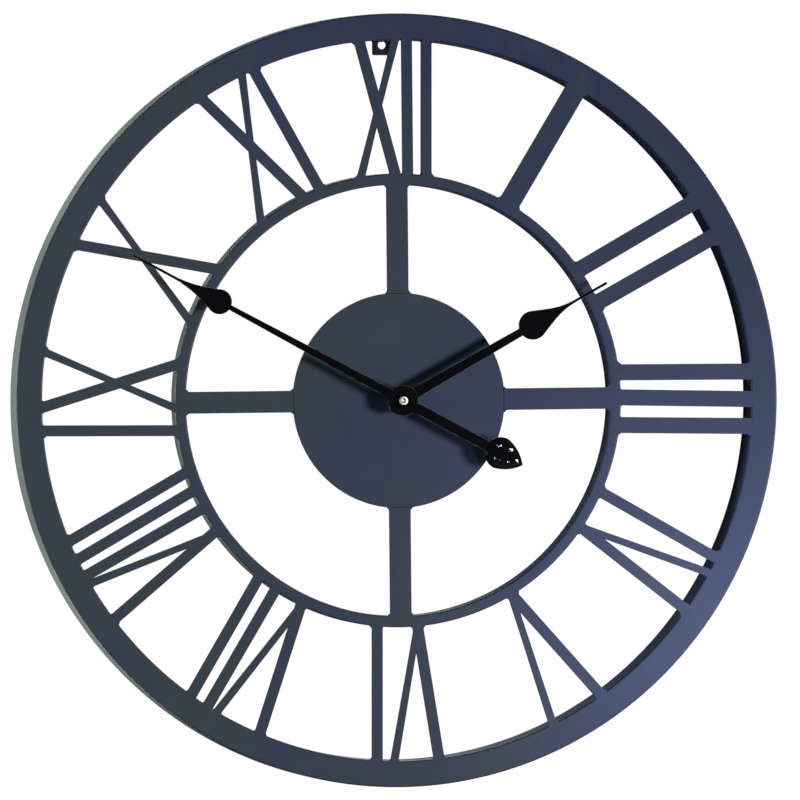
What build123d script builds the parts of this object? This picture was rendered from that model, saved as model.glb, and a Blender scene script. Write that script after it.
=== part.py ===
from build123d import *
from math import atan2, cos, degrees, pi, radians, sin, sqrt
import os

# A skeleton wall clock. It is drawn lying on its back, with the wall at z = 0, twelve o'clock
# towards +y and the viewer above, and every piece is stood up as it is written.

# Rim and inner ring: steel channels rolled to a circle, open towards the wall
clock_diameter = 600.0
rim_width = 20.6
rim_depth = 30.0
ring_diameter = 352.0
ring_width = 9.0
ring_depth = 18.0
sheet = 1.2
bend_radius = 1.6

# Flat steel for the numerals, the spokes, the dial plate and the hanger
plate = 2.0
dial_diameter = 167.0
spoke_width = 16.0
spoke_count = 4
spoke_turn = 0.55

# Stroke widths of the numerals, from the single bar of one o'clock down to the thin diagonals
single_stroke = 15.7
double_stroke = 11.7
thick_stroke = 7.7
thin_stroke = 5.4

# Each stroke runs straight from the inner ring to the rim. The two numbers say how far clockwise
# of its hour's own radius it starts at the ring and ends at the rim.
numeral_strokes = {
    "numeral_1": [(single_stroke, -1.0, 0.5)],
    "numeral_2": [(double_stroke, -16.5, -16.5), (double_stroke, 13.0, 14.5)],
    "numeral_3": [(double_stroke, -21.5, -22.0), (double_stroke, -2.0, -0.5), (double_stroke, 19.5, 20.5)],
    "numeral_4": [(thick_stroke, -18.0, -19.0), (thick_stroke, 14.0, 28.0), (thin_stroke, 13.0, -6.0)],
    "numeral_5": [(thick_stroke, -2.0, -24.0), (thin_stroke, -1.0, 20.5)],
    "numeral_6": [(thick_stroke, -15.0, -32.0), (thin_stroke, -14.5, 3.5), (thick_stroke, 17.0, 17.0)],
    "numeral_7": [
        (thick_stroke, -12.5, -34.5), (thin_stroke, -12.5, 3.5), (thick_stroke, 11.0, 12.0),
        (thick_stroke, 27.0, 27.5),
    ],
    "numeral_8": [
        (thick_stroke, -15.5, -34.5), (thin_stroke, -17.0, -1.0), (thick_stroke, 5.0, 6.0),
        (thick_stroke, 20.5, 20.0), (thick_stroke, 35.5, 35.5),
    ],
    "numeral_9": [(thick_stroke, -23.0, -23.0), (thick_stroke, 27.5, -5.0), (thin_stroke, -5.5, 38.5)],
    "numeral_10": [(thick_stroke, 16.0, -22.0), (thin_stroke, -27.5, 17.0)],
    "numeral_11": [(thick_stroke, 13.0, -17.5), (thin_stroke, -24.0, 19.0), (thick_stroke, 28.0, 29.0)],
    "numeral_12": [
        (thick_stroke, -3.0, -31.5), (thin_stroke, -29.0, -3.0), (thick_stroke, 7.0, 6.0),
        (thick_stroke, 21.5, 21.5),
    ],
}

# Hanger: a tab on the rim's inner wall, a little to the left of twelve o'clock
tab_width = 15.0
tab_drop = 11.5
tab_offset = -8.3
tab_corner = 1.5
tab_hole_diameter = 6.2
tab_hole_drop = 3.6

# Hands: spade hands cut from sheet, with the time that they show
hand_sheet = 1.0
minute_angle = 298.0
minute_length = 239.0
minute_bulb = 163.0
minute_bulb_radius = 9.7
minute_needle = 41.0
minute_rod = (7.4, 3.8)
minute_eye_radius = 12.0
hour_angle = 60.6
hour_length = 186.0
hour_bulb = 118.5
hour_bulb_radius = 11.2
hour_needle = 40.0
hour_rod = (8.6, 6.0)
hour_eye_radius = 11.0
needle_width = 2.0
shoulder_angle = 68.0
shoulder_pull = 1.35
tail_rod = 8.0
leaf_start = 74.5
leaf_widest = 87.5
leaf_tip = 106.9
leaf_half_width = 12.6
leaf_side_bow = 0.17
weight_margin = 1.6
weight_height = 1.6
weight_slope = 42.0

# Heights of the hands above the dial plate's front
bush_rise = 10.0
hour_bush_rise = 10.6
hour_hand_rise = 12.2
hour_tube_rise = 13.8
minute_bush_rise = 14.8
minute_hand_rise = 16.2
nut_rise = 20.8
shaft_tip_rise = 19.8

# Spindles of the movement, from the threaded bush inwards
thread_diameter = 8.0
bush_flange_diameter = 12.0
hour_tube_diameter = 5.1
minute_shaft_diameter = 3.5
shaft_tongue = 1.5
running_clearance = 0.05
hour_bush_diameter = 10.0
minute_bush_diameter = 8.4
hand_nut_diameter = 6.6
fixing_nut_across_flats = 12.0
fixing_nut_height = 2.4
fixing_nut_sides = 6
washer_diameter = 16.0
washer_height = 0.8
fixing_play = 0.2

# Movement case: a plastic box behind the dial plate
gasket = 1.0
gasket_size = 44.0
case_size = 56.0
case_depth = 16.0
case_wall = 1.4
case_front_wall = 1.2
case_pivot_depth = 0.8
case_corner = 3.0
cover_thickness = 1.2
post_diameter = 3.2
post_inset = 6.0
knob_diameter = 13.0
knob_height = 4.5
knob_gap = 0.5
knob_flutes = 18
knob_flute_offset = 0.18

# Battery, an AA cell lying across the bottom of the case
battery_diameter = 14.3
battery_length = 50.4
battery_nub_diameter = 5.5
battery_nub_height = 1.2
contact_sheet = 0.4
contact_width = 9.0
contact_reach = 1.9
bay_wall = 1.2
bay_play = 0.3

# Wheel train: teeth, and the distances between the axes that set the tooth sizes
motion_distance = 9.0
cannon_teeth = 15
minute_wheel_teeth = 45
minute_pinion_teeth = 12
hour_wheel_teeth = 48
third_distance = 7.2
third_pinion_teeth = 8
third_wheel_teeth = 60
centre_wheel_teeth = 64
seconds_pinion_teeth = 8
seconds_distance = 7.4
seconds_wheel_teeth = 60
intermediate_pinion_teeth = 10
rotor_distance = 4.8
intermediate_wheel_teeth = 50
rotor_pinion_teeth = 10
arbor_diameter = 0.8
knob_arbor_diameter = 1.6
boss_diameter = 2.6

# Tooth form, in modules from the pitch circle and in shares of the pitch. A pinion turns a tooth to
# the wheel that it meshes with, and a wheel turns a gap to its pinion, half a pitch on.
pinion_form = {"addendum": 0.75, "dedendum": 1.25, "root_share": 0.48, "tip_share": 0.24, "turn_share": 0.0}
wheel_form = {"addendum": 0.85, "dedendum": 1.25, "root_share": 0.56, "tip_share": 0.22, "turn_share": 0.5}

# Layers of the train: how far behind the case's front each piece starts and ends
hour_wheel_layer = (1.6, 2.6)
minute_pinion_layer = (1.5, 2.7)
cannon_layer = (3.0, 4.1)
minute_wheel_layer = (3.1, 4.0)
plate_layer = (4.4, 5.4)
third_pinion_layer = (5.6, 6.8)
centre_wheel_layer = (5.8, 6.6)
minute_shaft_end = 6.8
pivot_bore_depth = 1.2
rotor_magnet_layer = (6.4, 9.4)
seconds_pinion_layer = (7.2, 8.4)
third_wheel_layer = (7.4, 8.1)
stator_layer = (7.5, 8.5)
core_layer = (8.5, 9.5)
intermediate_pinion_layer = (8.8, 9.9)
seconds_wheel_layer = (9.0, 9.7)
rotor_pinion_layer = (10.2, 11.2)
intermediate_wheel_layer = (10.4, 11.0)
boss_start = 11.6
pivot_end = 13.6

# Motor and circuit board
magnet_diameter = 5.0
stator_hole_diameter = 6.0
stator_web = 0.9
stator_width = 22.0
stator_height = 15.6
stator_leg = 4.0
core_height = 3.0
coil_diameter = 6.8
coil_gap = 0.4
board_size = (16.0, 14.0)
board_centre = (18.0, 16.0)
board_thickness = 0.8
chip_diameter = 6.0
chip_height = 0.8
chip_place = (19.5, 12.8)
crystal_diameter = 2.0
crystal_length = 6.0
crystal_place = (15.5, 20.0)

# Radii and heights worked out from these
rim_outer = clock_diameter / 2
rim_inner = rim_outer - rim_width
ring_outer = ring_diameter / 2
ring_inner = ring_outer - ring_width
dial_radius = dial_diameter / 2
front = rim_depth
dial_back = front - plate
case_front = dial_back - gasket
case_inside = case_size / 2 - case_wall
shell_depth = case_depth - cover_thickness
bay_top = battery_diameter + bay_play - case_inside
hole_radius = thread_diameter / 2 + fixing_play

centre_axis = (0.0, 0.0)
minute_axis = (motion_distance, 0.0)
third_axis = (-third_distance, 0.0)
intermediate_axis = (0.0, seconds_distance)
rotor_axis = (0.0, seconds_distance + rotor_distance)


def rod(diameter, back, top, place=(0.0, 0.0)):
    """A round bar that stands from one height to another."""
    height = top - back
    return Pos(place[0], place[1], back + height / 2) * Cylinder(diameter / 2, height)


def block(left, right, low, high, back, top):
    """A square bar given by its limits."""
    middle = Pos((left + right) / 2, (low + high) / 2, (back + top) / 2)
    return middle * Box(right - left, high - low, top - back)


def behind(depth):
    """The height of a point that lies this far behind the case's front."""
    return case_front - depth


def layer_rod(diameter, layer, place=(0.0, 0.0)):
    """A round bar that fills one layer of the movement."""
    return rod(diameter, behind(layer[1]), behind(layer[0]), place)


def write(name, *shapes):
    """Stand a piece up, with twelve o'clock towards +Z and the wall on +Y, and save its node."""
    solids = [solid for shape in shapes for solid in shape.solids()]
    export_step(Rot(90, 0, 0) * Compound(solids), f"parts/{name}.step")


def channel(outer_radius, width, depth):
    """A folded channel rolled to a circle, with its web at the front and its two lips behind."""
    outside = fillet(Rectangle(width, depth).vertices().group_by(Axis.Y)[-1], bend_radius)
    hollow = Pos(0, -sheet / 2) * Rectangle(width - 2 * sheet, depth - sheet)
    section = Pos(outer_radius - width / 2, front - depth / 2) * (outside - hollow)
    return revolve(Plane.XZ * section, Axis.Z)


def annulus(inner_radius, outer_radius):
    """The space at the front, one plate thick, between two circles."""
    return rod(2 * outer_radius, dial_back, front) - rod(2 * inner_radius, dial_back, front)


def strip(width, start, end):
    """A flat bar between two points at the front, with square ends that reach past both."""
    run = sqrt((end[0] - start[0]) ** 2 + (end[1] - start[1]) ** 2)
    turn = degrees(atan2(end[1] - start[1], end[0] - start[0]))
    middle = Pos((start[0] + end[0]) / 2, (start[1] + end[1]) / 2, front - plate / 2)
    return middle * Rot(0, 0, turn) * Box(run + 2 * width, width, plate)


def numeral(strokes, hour):
    """The bars of one numeral. A thin bar is cut where it meets the thick bar that it crosses."""
    gap = annulus(ring_outer, rim_inner)
    bars = []
    thick_bars = []
    for width, ring_offset, rim_offset in strokes:
        bar = strip(width, (ring_offset, ring_outer), (rim_offset, rim_inner)) & gap
        if width == thin_stroke:
            for thick_bar in thick_bars:
                bar = bar - thick_bar
            stub = width * width * plate
            bars += [piece for piece in bar.solids() if piece.volume > stub]
        else:
            thick_bars.append(bar)
            bars.append(bar)
    turn = Rot(0, 0, -360 / len(numeral_strokes) * hour)
    return [turn * bar for bar in bars]


def hand_outline(length, bulb, bulb_radius, needle, rod_widths, eye_radius):
    """A spade hand that points along +x: an eye, a tapered rod, a round bulb and a blunt needle."""
    start_half = rod_widths[0] / 2
    end_half = rod_widths[1] / 2
    needle_half = needle_width / 2
    leaving = radians(shoulder_angle)
    shoulder = (bulb + bulb_radius * cos(leaving), bulb_radius * sin(leaving))
    pull = bulb_radius * shoulder_pull
    first_pull = (shoulder[0] + pull * sin(leaving), shoulder[1] - pull * cos(leaving))
    neck = (bulb + needle, needle_half)
    second_pull = (neck[0] - pull, needle_half)
    needle_end = (length - needle_half, needle_half)
    blunt_end = CenterArc((length - needle_half, 0), needle_half, 0, 90)
    upper = Bezier(shoulder, first_pull, second_pull, neck) + Line(neck, needle_end) + blunt_end
    lower = mirror(upper, Plane.XZ)
    base = Line(shoulder, (shoulder[0], -shoulder[1]))
    blade = make_face(upper + lower + base)
    taper = Polygon((0, -start_half), (bulb, -end_half), (bulb, end_half), (0, start_half), align=None)
    return Circle(eye_radius) + taper + Pos(bulb, 0) * Circle(bulb_radius) + blade


def leaf_outline(margin):
    """The leaf at the minute hand's tail, which points along -x, or the same leaf drawn smaller."""
    half_width = leaf_half_width - margin
    widest = (-leaf_widest, half_width)
    tip = (margin * sqrt(2) - leaf_tip, 0)
    round_end = EllipticalCenterArc(
        (-leaf_widest, 0), leaf_widest - leaf_start - margin, half_width, start_angle=0, arc_size=90
    )
    side = SagittaArc(widest, tip, -half_width * leaf_side_bow)
    upper = round_end + side
    return make_face(upper + mirror(upper, Plane.XZ))


def point_hand(angle):
    """The turn that swings a hand from +x to its place on the dial, clockwise from twelve."""
    return Rot(0, 0, 90 - angle)


def tongue(back, top):
    """The minute shaft's end, with two flats in line with the minute hand that keep it from slipping."""
    flats = block(
        -minute_shaft_diameter, minute_shaft_diameter, -shaft_tongue / 2, shaft_tongue / 2, back, top
    )
    return point_hand(minute_angle) * flats & rod(minute_shaft_diameter, back, top)


def module_of(distance, first_teeth, second_teeth):
    """The tooth module of a pair of wheels whose axes are this far apart."""
    return 2 * distance / (first_teeth + second_teeth)


def gear(form, teeth, module, layer, place, mate):
    """A toothed wheel in one layer, phased to mesh with the one on the mate's axis."""
    pitch_radius = teeth * module / 2
    root_radius = pitch_radius - form["dedendum"] * module
    tip_radius = pitch_radius + form["addendum"] * module
    pitch = 2 * pi / teeth
    first = atan2(mate[1] - place[1], mate[0] - place[0]) + form["turn_share"] * pitch
    root_half = form["root_share"] * pitch / 2
    tip_half = form["tip_share"] * pitch / 2
    rising = [(root_radius, -root_half), (tip_radius, -tip_half)]
    falling = [(tip_radius, tip_half), (root_radius, root_half)]
    corners = []
    for tooth in range(teeth):
        for radius, swing in rising + falling:
            angle = first + tooth * pitch + swing
            corners.append((radius * cos(angle), radius * sin(angle)))
    face = Pos(place[0], place[1], behind(layer[1])) * Polygon(*corners, align=None)
    return extrude(face, layer[1] - layer[0])


os.makedirs("parts", exist_ok=True)

# Rim, inner ring and the twelve numerals welded between them
write("rim", channel(rim_outer, rim_width, rim_depth))
write("inner_ring", channel(ring_outer, ring_width, ring_depth))
for hour, (name, strokes) in enumerate(numeral_strokes.items(), 1):
    write(name, *numeral(strokes, hour))

# Dial plate and the spokes that carry it
write("dial_plate", rod(dial_diameter, dial_back, front) - rod(2 * hole_radius, dial_back, front))
spoke = strip(spoke_width, (0, dial_radius), (0, ring_inner)) & annulus(dial_radius, ring_inner)
for index, name in enumerate(["spoke_top", "spoke_right", "spoke_bottom", "spoke_left"]):
    write(name, Rot(0, 0, spoke_turn - 360 / spoke_count * index) * spoke)

# Hanger tab, welded to the rim's inner wall flush with the wall side
tab_low = rim_inner - tab_drop
tab = block(tab_offset - tab_width / 2, tab_offset + tab_width / 2, tab_low, rim_inner, 0, plate)
tab = fillet(tab.edges().filter_by(Axis.Z).group_by(Axis.Y)[0], tab_corner)
tab = tab & rod(2 * rim_inner, 0, plate)
tab_hole = rod(tab_hole_diameter, 0, plate, (tab_offset, rim_inner - tab_hole_drop))
write("hanger_tab", tab - tab_hole)

# Threaded bush, with the gasket behind the dial plate and the washer and nut in front of it
bush = rod(thread_diameter, behind(case_front_wall), front + bush_rise)
bush = bush + rod(bush_flange_diameter, case_front, dial_back)
bush_bore = hour_tube_diameter + 2 * running_clearance
write("threaded_bush", bush - rod(bush_bore, behind(case_front_wall), front + bush_rise))
half_gasket = gasket_size / 2
pad = block(-half_gasket, half_gasket, -half_gasket, half_gasket, case_front, dial_back)
pad = fillet(pad.edges().filter_by(Axis.Z), case_corner)
write("rubber_gasket", pad - rod(bush_flange_diameter, case_front, dial_back))
washer_top = front + washer_height
write("fixing_washer", rod(washer_diameter, front, washer_top) - rod(2 * hole_radius, front, washer_top))
hexagon = RegularPolygon(fixing_nut_across_flats / 2, fixing_nut_sides, major_radius=False)
fixing_nut = Pos(0, 0, washer_top) * extrude(hexagon, fixing_nut_height)
nut_top = washer_top + fixing_nut_height
write("fixing_nut", fixing_nut - rod(thread_diameter, washer_top, nut_top))

# Movement case, open at the back, with a bay for the battery and posts for the middle plate
half_case = case_size / 2
shell_back = behind(shell_depth)
inner_front = behind(case_front_wall)
shell = block(-half_case, half_case, -half_case, half_case, shell_back, case_front)
shell = fillet(shell.edges().filter_by(Axis.Z), case_corner)
shell = shell - block(-case_inside, case_inside, -case_inside, case_inside, shell_back, inner_front)
shell = shell + block(-case_inside, case_inside, bay_top, bay_top + bay_wall, shell_back, inner_front)
posts = [
    (side * (case_inside - post_inset), height)
    for side in (-1, 1)
    for height in (bay_top + bay_wall + post_inset / 2, case_inside - post_inset)
]
for place in posts:
    shell = shell + rod(post_diameter, behind(plate_layer[0]), inner_front, place)
shell = shell - rod(thread_diameter, inner_front, case_front)
pivot_hole = knob_arbor_diameter + 2 * running_clearance
blind = inner_front + case_pivot_depth
write("movement_case", shell - rod(pivot_hole, inner_front, blind, minute_axis))

# Middle plate on its posts, with pivot holes for the train and two posts for the motor
plate_edge = case_inside - running_clearance
plate_low = bay_top + bay_wall + running_clearance
middle = block(-plate_edge, plate_edge, plate_low, plate_edge, behind(plate_layer[1]), behind(plate_layer[0]))
small_hole = arbor_diameter + 2 * running_clearance
for place in (third_axis, intermediate_axis, rotor_axis):
    middle = middle - layer_rod(small_hole, plate_layer, place)
middle = middle - layer_rod(pivot_hole, plate_layer, minute_axis)
middle = middle - layer_rod(minute_shaft_diameter + 2 * running_clearance, plate_layer)
stator_low = rotor_axis[1] - stator_hole_diameter / 2 - stator_web
stator_high = stator_low + stator_height
leg_centre = stator_width / 2 - stator_leg / 2
for side in (-1, 1):
    foot = (side * leg_centre, stator_high - core_height / 2)
    middle = middle + layer_rod(post_diameter, (plate_layer[1], stator_layer[0]), foot)
write("middle_plate", middle)

# Cover over the train, with a boss for each rear pivot and a hole for the setting arbor
cover = block(-half_case, half_case, bay_top, half_case, behind(case_depth), shell_back)
cover = fillet(cover.edges().filter_by(Axis.Z).group_by(Axis.Y)[-1], case_corner)
for place in (centre_axis, third_axis, intermediate_axis, rotor_axis):
    cover = cover + layer_rod(boss_diameter, (boss_start, shell_depth), place)
    cover = cover - layer_rod(small_hole, (boss_start, pivot_end + running_clearance), place)
cover = cover - layer_rod(pivot_hole, (shell_depth, case_depth), minute_axis)
write("movement_cover", cover)

# Battery between its two contacts
battery_axis = Pos(0, battery_diameter / 2 - case_inside, inner_front - battery_diameter / 2)
contact_face = case_inside - contact_sheet
battery_end = contact_face - battery_length
body_length = battery_length - battery_nub_height
lying = Rot(0, 90, 0)
can = Pos(battery_end + body_length / 2, 0, 0) * lying * Cylinder(battery_diameter / 2, body_length)
nub = Pos(contact_face - battery_nub_height / 2, 0, 0) * lying
nub = nub * Cylinder(battery_nub_diameter / 2, battery_nub_height)
write("battery", battery_axis * (can + nub))
half_contact = contact_width / 2
positive = block(contact_face, case_inside, -half_contact, half_contact, -half_contact, half_contact)
write("battery_contact_positive", battery_axis * positive)
spring_line = Polyline(
    (-case_inside, half_contact), (-case_inside, -half_contact), (battery_end - contact_sheet, 0),
    (-case_inside + contact_reach / 2, half_contact / 2),
)
spring_side = offset(spring_line, contact_sheet, side=Side.LEFT)
spring_face = make_face(spring_side)
spring = Pos(0, half_contact, 0) * extrude(Plane.XZ * spring_face, contact_width)
write("battery_contact_negative", battery_axis * spring)

# Motion work: cannon pinion on the minute shaft, minute wheel with the setting knob, hour wheel
cannon_module = module_of(motion_distance, cannon_teeth, minute_wheel_teeth)
hour_module = module_of(motion_distance, minute_pinion_teeth, hour_wheel_teeth)
shaft_back = behind(minute_shaft_end)
shaft = rod(minute_shaft_diameter, shaft_back, front + minute_hand_rise)
shaft = shaft + tongue(front + minute_hand_rise, front + shaft_tip_rise)
shaft = shaft + gear(pinion_form, cannon_teeth, cannon_module, cannon_layer, centre_axis, minute_axis)
write("minute_shaft", shaft - rod(small_hole, shaft_back, shaft_back + pivot_bore_depth))
setting = gear(wheel_form, minute_wheel_teeth, cannon_module, minute_wheel_layer, minute_axis, centre_axis)
setting = setting + gear(
    pinion_form, minute_pinion_teeth, hour_module, minute_pinion_layer, minute_axis, centre_axis
)
knob_top = behind(case_depth + knob_gap)
knob_back = knob_top - knob_height
arbor_front = blind - running_clearance
setting = setting + rod(knob_arbor_diameter, knob_back + knob_height / 2, arbor_front, minute_axis)
write("minute_wheel", setting)
knob = rod(knob_diameter, knob_back, knob_top, minute_axis)
flute = knob_diameter / knob_flutes
for index in range(knob_flutes):
    angle = 2 * pi / knob_flutes * index
    reach = knob_diameter / 2 + knob_flute_offset
    spot = (minute_axis[0] + reach * cos(angle), minute_axis[1] + reach * sin(angle))
    knob = knob - rod(flute, knob_back, knob_top, spot)
write("setting_knob", knob - rod(knob_arbor_diameter, knob_back + knob_height / 2, knob_top, minute_axis))
hour_wheel = gear(wheel_form, hour_wheel_teeth, hour_module, hour_wheel_layer, centre_axis, minute_axis)
tube_back = behind(hour_wheel_layer[1])
tube_top = front + hour_tube_rise
hour_wheel = hour_wheel + rod(hour_tube_diameter, tube_back, tube_top)
write("hour_wheel", hour_wheel - rod(minute_shaft_diameter + 2 * running_clearance, tube_back, tube_top))

# Going train: rotor, intermediate wheel, seconds wheel, third wheel and centre wheel
rotor_module = module_of(rotor_distance, rotor_pinion_teeth, intermediate_wheel_teeth)
seconds_module = module_of(seconds_distance, intermediate_pinion_teeth, seconds_wheel_teeth)
third_module = module_of(third_distance, seconds_pinion_teeth, third_wheel_teeth)
centre_module = module_of(third_distance, third_pinion_teeth, centre_wheel_teeth)
pivot_front = plate_layer[0] + running_clearance
rotor = layer_rod(arbor_diameter, (pivot_front, pivot_end), rotor_axis)
rotor = rotor + gear(
    pinion_form, rotor_pinion_teeth, rotor_module, rotor_pinion_layer, rotor_axis, intermediate_axis
)
write("rotor", rotor + layer_rod(magnet_diameter, rotor_magnet_layer, rotor_axis))
intermediate = layer_rod(arbor_diameter, (pivot_front, pivot_end), intermediate_axis)
intermediate = intermediate + gear(
    wheel_form, intermediate_wheel_teeth, rotor_module, intermediate_wheel_layer,
    intermediate_axis, rotor_axis,
)
intermediate = intermediate + gear(
    pinion_form, intermediate_pinion_teeth, seconds_module, intermediate_pinion_layer,
    intermediate_axis, centre_axis,
)
write("intermediate_wheel", intermediate)
seconds_front = minute_shaft_end - pivot_bore_depth + running_clearance
seconds = layer_rod(arbor_diameter, (seconds_front, pivot_end), centre_axis)
seconds = seconds + gear(
    wheel_form, seconds_wheel_teeth, seconds_module, seconds_wheel_layer, centre_axis, intermediate_axis
)
seconds = seconds + gear(
    pinion_form, seconds_pinion_teeth, third_module, seconds_pinion_layer, centre_axis, third_axis
)
write("seconds_wheel", seconds)
third = layer_rod(arbor_diameter, (pivot_front, pivot_end), third_axis)
third = third + gear(
    wheel_form, third_wheel_teeth, third_module, third_wheel_layer, third_axis, centre_axis
)
third = third + gear(
    pinion_form, third_pinion_teeth, centre_module, third_pinion_layer, third_axis, centre_axis
)
write("third_wheel", third)
centre_wheel = gear(
    wheel_form, centre_wheel_teeth, centre_module, centre_wheel_layer, centre_axis, third_axis
)
clutch_hole = minute_shaft_diameter + running_clearance
write("centre_wheel", centre_wheel - layer_rod(clutch_hole, centre_wheel_layer))

# Stepping motor: stator round the rotor, and a coil on its core
half_stator = stator_width / 2
leg_inside = half_stator - stator_leg
stator_bottom = behind(stator_layer[1])
stator_top = behind(stator_layer[0])
stator = block(-half_stator, half_stator, stator_low, stator_high, stator_bottom, stator_top)
yoke_high = rotor_axis[1] + stator_hole_diameter / 2 + stator_web
stator = stator - block(-leg_inside, leg_inside, yoke_high, stator_high, stator_bottom, stator_top)
write("motor_stator", stator - layer_rod(stator_hole_diameter, stator_layer, rotor_axis))
core_low = stator_high - core_height
core_back = behind(core_layer[1])
core = block(-half_stator, half_stator, core_low, stator_high, core_back, behind(core_layer[0]))
write("coil_core", core)
coil_half = leg_inside - coil_gap
coil_place = Pos(0, stator_high - core_height / 2, behind((core_layer[0] + core_layer[1]) / 2))
winding = coil_place * Rot(0, 90, 0) * Cylinder(coil_diameter / 2, 2 * coil_half)
write("motor_coil", winding - core)

# Circuit board on the cover, with its chip and quartz crystal
board_layer = (shell_depth - board_thickness, shell_depth)
board = block(
    board_centre[0] - board_size[0] / 2, board_centre[0] + board_size[0] / 2,
    board_centre[1] - board_size[1] / 2, board_centre[1] + board_size[1] / 2,
    behind(board_layer[1]), behind(board_layer[0]),
)
write("circuit_board", board)
write("driver_chip", layer_rod(chip_diameter, (board_layer[0] - chip_height, board_layer[0]), chip_place))
crystal_at = Pos(crystal_place[0], crystal_place[1], behind(board_layer[0] - crystal_diameter / 2))
write("quartz_crystal", crystal_at * Rot(0, 90, 0) * Cylinder(crystal_diameter / 2, crystal_length))

# Hour hand on its bush
hour_face = hand_outline(hour_length, hour_bulb, hour_bulb_radius, hour_needle, hour_rod, hour_eye_radius)
hour_back = front + hour_hand_rise
hour_blade = Pos(0, 0, hour_back) * extrude(point_hand(hour_angle) * hour_face, hand_sheet)
hour_seat = rod(hour_tube_diameter, front + hour_bush_rise, hour_back + hand_sheet)
write("hour_hand", hour_blade - hour_seat)
write("hour_hand_bush", rod(hour_bush_diameter, front + hour_bush_rise, hour_back) - hour_seat)

# Minute hand with its tail, counterweight, bush and nut
minute_face = hand_outline(
    minute_length, minute_bulb, minute_bulb_radius, minute_needle, minute_rod, minute_eye_radius
)
tail = Pos(-leaf_widest / 2, 0) * Rectangle(leaf_widest, tail_rod)
minute_face = minute_face + tail + leaf_outline(0)
minute_back = front + minute_hand_rise
minute_top = minute_back + hand_sheet
minute_blade = Pos(0, 0, minute_back) * extrude(point_hand(minute_angle) * minute_face, hand_sheet)
write("minute_hand", minute_blade - tongue(minute_back, minute_top))
weight_face = point_hand(minute_angle) * leaf_outline(weight_margin)
weight = extrude(weight_face, weight_height, taper=weight_slope)
write("counterweight", Pos(0, 0, minute_top) * weight)
bush_back = front + minute_bush_rise
minute_bush = rod(minute_bush_diameter, bush_back, minute_back)
write("minute_hand_bush", minute_bush - rod(minute_shaft_diameter, bush_back, minute_back))
hand_nut = rod(hand_nut_diameter, minute_top, front + nut_rise)
write("hand_nut", hand_nut - rod(minute_shaft_diameter, minute_top, front + nut_rise))
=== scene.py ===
from math import atan2, cos, exp, hypot, pi, radians, sin, sqrt, tan
from random import Random

import bmesh
import bpy
from mathutils import Matrix, Vector


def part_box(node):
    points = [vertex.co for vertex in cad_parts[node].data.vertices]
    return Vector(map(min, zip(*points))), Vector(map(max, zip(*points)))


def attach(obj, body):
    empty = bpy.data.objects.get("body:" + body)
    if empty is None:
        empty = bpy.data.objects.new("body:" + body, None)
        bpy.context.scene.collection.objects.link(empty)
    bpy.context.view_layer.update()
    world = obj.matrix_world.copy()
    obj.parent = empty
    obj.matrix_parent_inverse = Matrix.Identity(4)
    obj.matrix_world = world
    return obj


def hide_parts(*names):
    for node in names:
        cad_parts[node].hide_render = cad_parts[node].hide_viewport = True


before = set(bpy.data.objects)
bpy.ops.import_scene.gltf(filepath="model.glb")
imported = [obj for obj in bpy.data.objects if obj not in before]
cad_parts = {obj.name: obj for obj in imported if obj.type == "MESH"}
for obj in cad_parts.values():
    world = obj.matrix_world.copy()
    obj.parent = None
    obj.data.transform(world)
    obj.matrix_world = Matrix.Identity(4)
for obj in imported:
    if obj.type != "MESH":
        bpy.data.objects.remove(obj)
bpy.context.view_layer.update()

# Rim: the outer hoop, a channel folded from thin mild steel sheet and rolled to a circle with its
# open side to the wall. Its ends are butt-welded, and the whole frame is powder-coated slate blue.


class Wire:
    """A socket of a node tree: arithmetic on it adds Math nodes, and node() adds any other node."""

    def __init__(self, tree, socket=None):
        self.tree = tree
        self.socket = socket

    def node(self, kind, settings=None, sockets=None, output=0):
        made = self.tree.nodes.new(kind)
        for name, value in (settings or {}).items():
            setattr(made, name, value)
        for name, value in (sockets or {}).items():
            for part in value if isinstance(value, list) else [value]:
                if isinstance(part, Wire):
                    self.tree.links.new(part.socket, made.inputs[name])
                else:
                    made.inputs[name].default_value = part
        return Wire(self.tree, made.outputs[output] if len(made.outputs) else None)

    def other(self, output):
        return Wire(self.tree, self.socket.node.outputs[output])

    def maths(self, operation, first, second=0.0):
        return self.node("ShaderNodeMath", {"operation": operation}, {0: first, 1: second})

    def mix(self, low, high):
        settings = {"data_type": "RGBA"}
        return self.node("ShaderNodeMix", settings, {0: self, 6: low, 7: high}, output=2)

    def step(self, low, high):
        sockets = {"Value": self, "From Min": low, "From Max": high}
        return self.node("ShaderNodeMapRange", {"interpolation_type": "SMOOTHSTEP"}, sockets)

    def __add__(self, other):
        return self.maths("ADD", self, other)

    def __sub__(self, other):
        return self.maths("SUBTRACT", self, other)

    def __rsub__(self, other):
        return self.maths("SUBTRACT", other, self)

    def __mul__(self, other):
        return self.maths("MULTIPLY", self, other)

    def __truediv__(self, other):
        return self.maths("DIVIDE", self, other)

    def __rtruediv__(self, other):
        return self.maths("DIVIDE", other, self)

    __radd__ = __add__
    __rmul__ = __mul__


def finish(name, paint):
    """A material whose paint function gives the inputs of its shader."""
    material = bpy.data.materials.new(name)
    material.use_nodes = True
    material.node_tree.nodes.clear()
    start = Wire(material.node_tree)
    place = start.node("ShaderNodeTexCoord", output="Object")
    shader = start.node("ShaderNodeBsdfPrincipled", sockets=paint(start, place))
    start.node("ShaderNodeOutputMaterial", sockets={"Surface": shader})
    return material


def noise(start, place, scale, detail, roughness=0.5):
    sockets = {"Vector": place, "Scale": scale, "Detail": detail, "Roughness": roughness}
    return start.node("ShaderNodeTexNoise", sockets=sockets)


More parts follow.
